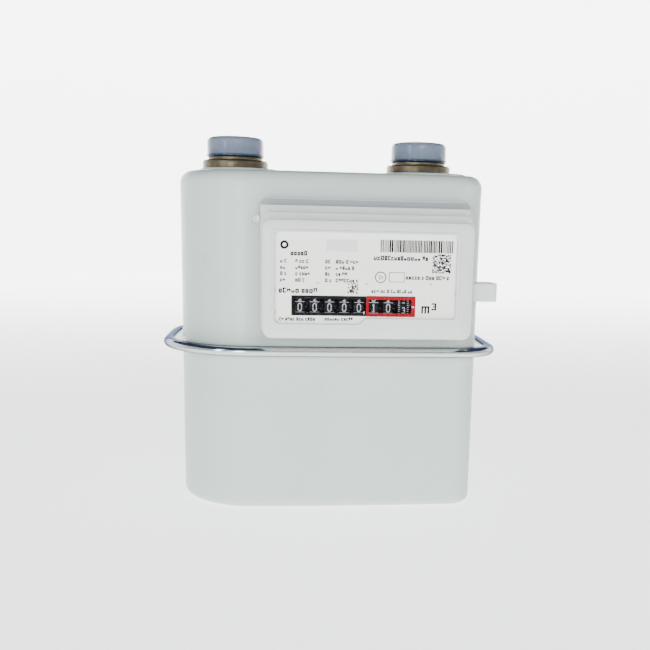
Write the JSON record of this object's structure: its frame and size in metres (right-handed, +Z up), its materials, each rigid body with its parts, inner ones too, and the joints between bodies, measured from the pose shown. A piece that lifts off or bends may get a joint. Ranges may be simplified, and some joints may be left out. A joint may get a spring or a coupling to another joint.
{
  "type": "gas meter",
  "caption": "Two-pipe diaphragm gas meter: pressed casing in two halves with a clamp band, top connections with dust caps, side-offset mechanical index with rolling drums and pulser lug.",
  "frame": {"origin": "centre of the flat underside of the lower casing, midway between the two connection axes", "axes": "+X from the inlet towards the outlet (right, seen from the front), +Y to the back, with the index facing -Y, +Z up"},
  "size_m": [0.194, 0.151, 0.2116],
  "materials": {
    "casing_paint": "glossy stove-enamelled sheet steel",
    "band_steel": "polished stainless strip",
    "seal_rubber": "smooth dark rubber",
    "fitting_bronze": "dull tumbled zinc-plated brass",
    "cap_plastic": "thin translucent moulding",
    "cover_plastic": "satin moulded",
    "window_plastic": "clear polished",
    "label": "printed plate",
    "seal_plug": "moulded",
    "drum_plastic": "moulded",
    "gear_plastic": "moulded acetal",
    "shaft_steel": "ground",
    "magnet": "sintered",
    "bush_brass": "turned",
    "unit_plastic": "moulded",
    "diaphragm_rubber": "fabric-backed sheet"
  },
  "bodies": {
    "root": {"lower_casing": "casing_paint", "upper_casing": "casing_paint", "clamp_band": "band_steel", "casing_gasket": "seal_rubber", "inlet_gasket": "seal_rubber", "outlet_gasket": "seal_rubber", "inlet_nozzle": "fitting_bronze", "outlet_nozzle": "fitting_bronze", "index_base": "cover_plastic", "index_cover": "cover_plastic", "index_window": "window_plastic", "name_plate": "label", "seal_plug": "seal_plug", "index_frame": "drum_plastic", "drum_axle": "shaft_steel", "pinion_axle": "shaft_steel", "gland_bush": "bush_brass", "unit_body": "unit_plastic", "front_chamber_cover": "unit_plastic", "rear_chamber_cover": "unit_plastic", "crank_bridge": "unit_plastic", "outlet_duct": "unit_plastic", "front_diaphragm": "diaphragm_rubber", "rear_diaphragm": "diaphragm_rubber"},
    "inlet_cap": {"inlet_cap": "cap_plastic"},
    "outlet_cap": {"outlet_cap": "cap_plastic"},
    "crank": {"crank": "shaft_steel", "rotary_valve": "gear_plastic"},
    "drive": {"drive_shaft": "shaft_steel", "change_gear": "gear_plastic", "drive_wheel": "gear_plastic"},
    "index_input": {"input_shaft": "shaft_steel", "input_gear": "gear_plastic"},
    "front_flag": {"front_flag": "shaft_steel", "front_arm": "gear_plastic"},
    "rear_flag": {"rear_flag": "shaft_steel", "rear_arm": "gear_plastic"},
    "front_link": {"front_link": "gear_plastic"},
    "rear_link": {"rear_link": "gear_plastic"},
    "front_disc": {"front_disc": "gear_plastic"},
    "rear_disc": {"rear_disc": "gear_plastic"},
    "drum_1": {"drum_1": "drum_plastic"},
    "drum_2": {"drum_2": "drum_plastic"},
    "drum_3": {"drum_3": "drum_plastic"},
    "drum_4": {"drum_4": "drum_plastic"},
    "drum_5": {"drum_5": "drum_plastic"},
    "drum_6": {"drum_6": "drum_plastic"},
    "drum_7": {"drum_7": "drum_plastic"},
    "drum_8": {"drum_8": "drum_plastic", "pulse_magnet": "magnet", "index_gear": "gear_plastic"},
    "pinion_1": {"transfer_pinion_1": "gear_plastic"},
    "pinion_2": {"transfer_pinion_2": "gear_plastic"},
    "pinion_3": {"transfer_pinion_3": "gear_plastic"},
    "pinion_4": {"transfer_pinion_4": "gear_plastic"},
    "pinion_5": {"transfer_pinion_5": "gear_plastic"},
    "pinion_6": {"transfer_pinion_6": "gear_plastic"},
    "pinion_7": {"transfer_pinion_7": "gear_plastic"}
  },
  "joints": [
    {"name": "inlet_cap_lift", "type": "slide", "parent": "root", "child": "inlet_cap", "axis": [0, 0, 1], "range_m": [0, 0.03]},
    {"name": "outlet_cap_lift", "type": "slide", "parent": "root", "child": "outlet_cap", "axis": [0, 0, 1], "range_m": [0, 0.03]},
    {"name": "crank_spin", "type": "hinge", "parent": "root", "child": "crank", "pos_m": [0.01, 0, 0.12], "axis": [0, 0, 1], "continuous": true},
    {"name": "drive_spin", "type": "hinge", "parent": "root", "child": "drive", "pos_m": [0.0233, 0, 0.13746], "axis": [0, 1, 0], "continuous": true},
    {"name": "input_spin", "type": "hinge", "parent": "root", "child": "index_input", "pos_m": [0.0446, -0.07, 0.1303], "axis": [0, 1, 0], "continuous": true},
    {"name": "drum_8_spin", "type": "hinge", "parent": "root", "child": "drum_8", "pos_m": [0, -0.0715, 0.1202], "axis": [-1, 0, 0], "continuous": true},
    {"name": "drum_7_spin", "type": "hinge", "parent": "root", "child": "drum_7", "pos_m": [0, -0.0715, 0.1202], "axis": [-1, 0, 0], "continuous": true},
    {"name": "drum_6_spin", "type": "hinge", "parent": "root", "child": "drum_6", "pos_m": [0, -0.0715, 0.1202], "axis": [-1, 0, 0], "continuous": true},
    {"name": "drum_5_spin", "type": "hinge", "parent": "root", "child": "drum_5", "pos_m": [0, -0.0715, 0.1202], "axis": [-1, 0, 0], "continuous": true},
    {"name": "drum_4_spin", "type": "hinge", "parent": "root", "child": "drum_4", "pos_m": [0, -0.0715, 0.1202], "axis": [-1, 0, 0], "continuous": true},
    {"name": "drum_3_spin", "type": "hinge", "parent": "root", "child": "drum_3", "pos_m": [0, -0.0715, 0.1202], "axis": [-1, 0, 0], "continuous": true},
    {"name": "drum_2_spin", "type": "hinge", "parent": "root", "child": "drum_2", "pos_m": [0, -0.0715, 0.1202], "axis": [-1, 0, 0], "continuous": true},
    {"name": "drum_1_spin", "type": "hinge", "parent": "root", "child": "drum_1", "pos_m": [0, -0.0715, 0.1202], "axis": [-1, 0, 0], "continuous": true},
    {"name": "pinion_7_spin", "type": "hinge", "parent": "root", "child": "pinion_7", "pos_m": [0, -0.06604, 0.11074], "axis": [-1, 0, 0], "continuous": true},
    {"name": "pinion_6_spin", "type": "hinge", "parent": "root", "child": "pinion_6", "pos_m": [0, -0.06604, 0.11074], "axis": [-1, 0, 0], "continuous": true},
    {"name": "pinion_5_spin", "type": "hinge", "parent": "root", "child": "pinion_5", "pos_m": [0, -0.06604, 0.11074], "axis": [-1, 0, 0], "continuous": true},
    {"name": "pinion_4_spin", "type": "hinge", "parent": "root", "child": "pinion_4", "pos_m": [0, -0.06604, 0.11074], "axis": [-1, 0, 0], "continuous": true},
    {"name": "pinion_3_spin", "type": "hinge", "parent": "root", "child": "pinion_3", "pos_m": [0, -0.06604, 0.11074], "axis": [-1, 0, 0], "continuous": true},
    {"name": "pinion_2_spin", "type": "hinge", "parent": "root", "child": "pinion_2", "pos_m": [0, -0.06604, 0.11074], "axis": [-1, 0, 0], "continuous": true},
    {"name": "pinion_1_spin", "type": "hinge", "parent": "root", "child": "pinion_1", "pos_m": [0, -0.06604, 0.11074], "axis": [-1, 0, 0], "continuous": true},
    {"name": "front_flag_swing", "type": "hinge", "parent": "root", "child": "front_flag", "pos_m": [-0.046, -0.014, 0.06], "axis": [0, 0, 1], "range_deg": [-12, 12]},
    {"name": "front_disc_travel", "type": "slide", "parent": "root", "child": "front_disc", "axis": [0, 1, 0], "range_m": [-0.0082, 0.0082]},
    {"name": "front_link_turn", "type": "hinge", "parent": "front_flag", "child": "front_link", "pos_m": [-0.018, -0.024, 0.126], "axis": [0, 0, 1], "range_deg": [-12.5, 12.5]},
    {"name": "rear_flag_swing", "type": "hinge", "parent": "root", "child": "rear_flag", "pos_m": [-0.046, 0.014, 0.06], "axis": [0, 0, 1], "range_deg": [-12, 12]},
    {"name": "rear_disc_travel", "type": "slide", "parent": "root", "child": "rear_disc", "axis": [0, 1, 0], "range_m": [-0.0082, 0.0082]},
    {"name": "rear_link_turn", "type": "hinge", "parent": "rear_flag", "child": "rear_link", "pos_m": [-0.018, 0.024, 0.126], "axis": [0, 0, 1], "range_deg": [-12.5, 12.5]}
  ],
  "couplings": [
    {"joint": "drive_spin", "follows": "crank_spin", "ratio": 0.3},
    {"joint": "input_spin", "follows": "crank_spin", "ratio": -0.12},
    {"joint": "drum_8_spin", "follows": "crank_spin", "ratio": 0.12},
    {"joint": "drum_7_spin", "follows": "crank_spin", "ratio": 0.012},
    {"joint": "drum_6_spin", "follows": "crank_spin", "ratio": 0.0012},
    {"joint": "drum_5_spin", "follows": "crank_spin", "ratio": 0.00012},
    {"joint": "drum_4_spin", "follows": "crank_spin", "ratio": 0.000012},
    {"joint": "drum_3_spin", "follows": "crank_spin", "ratio": 0.0000012},
    {"joint": "drum_2_spin", "follows": "crank_spin", "ratio": 0.00000012},
    {"joint": "drum_1_spin", "follows": "crank_spin", "ratio": 0.000000012},
    {"joint": "pinion_7_spin", "follows": "crank_spin", "ratio": -0.03},
    {"joint": "pinion_6_spin", "follows": "crank_spin", "ratio": -0.003},
    {"joint": "pinion_5_spin", "follows": "crank_spin", "ratio": -0.0003},
    {"joint": "pinion_4_spin", "follows": "crank_spin", "ratio": -0.00003},
    {"joint": "pinion_3_spin", "follows": "crank_spin", "ratio": -0.000003},
    {"joint": "pinion_2_spin", "follows": "crank_spin", "ratio": -0.0000003},
    {"joint": "pinion_1_spin", "follows": "crank_spin", "ratio": -0.00000003},
    {"joint": "front_disc_travel", "follows": "front_flag_swing", "m_per_rad": 0.038},
    {"joint": "front_link_turn", "follows": "front_flag_swing", "ratio": -1},
    {"joint": "rear_disc_travel", "follows": "rear_flag_swing", "m_per_rad": 0.038},
    {"joint": "rear_link_turn", "follows": "rear_flag_swing", "ratio": -1}
  ]
}
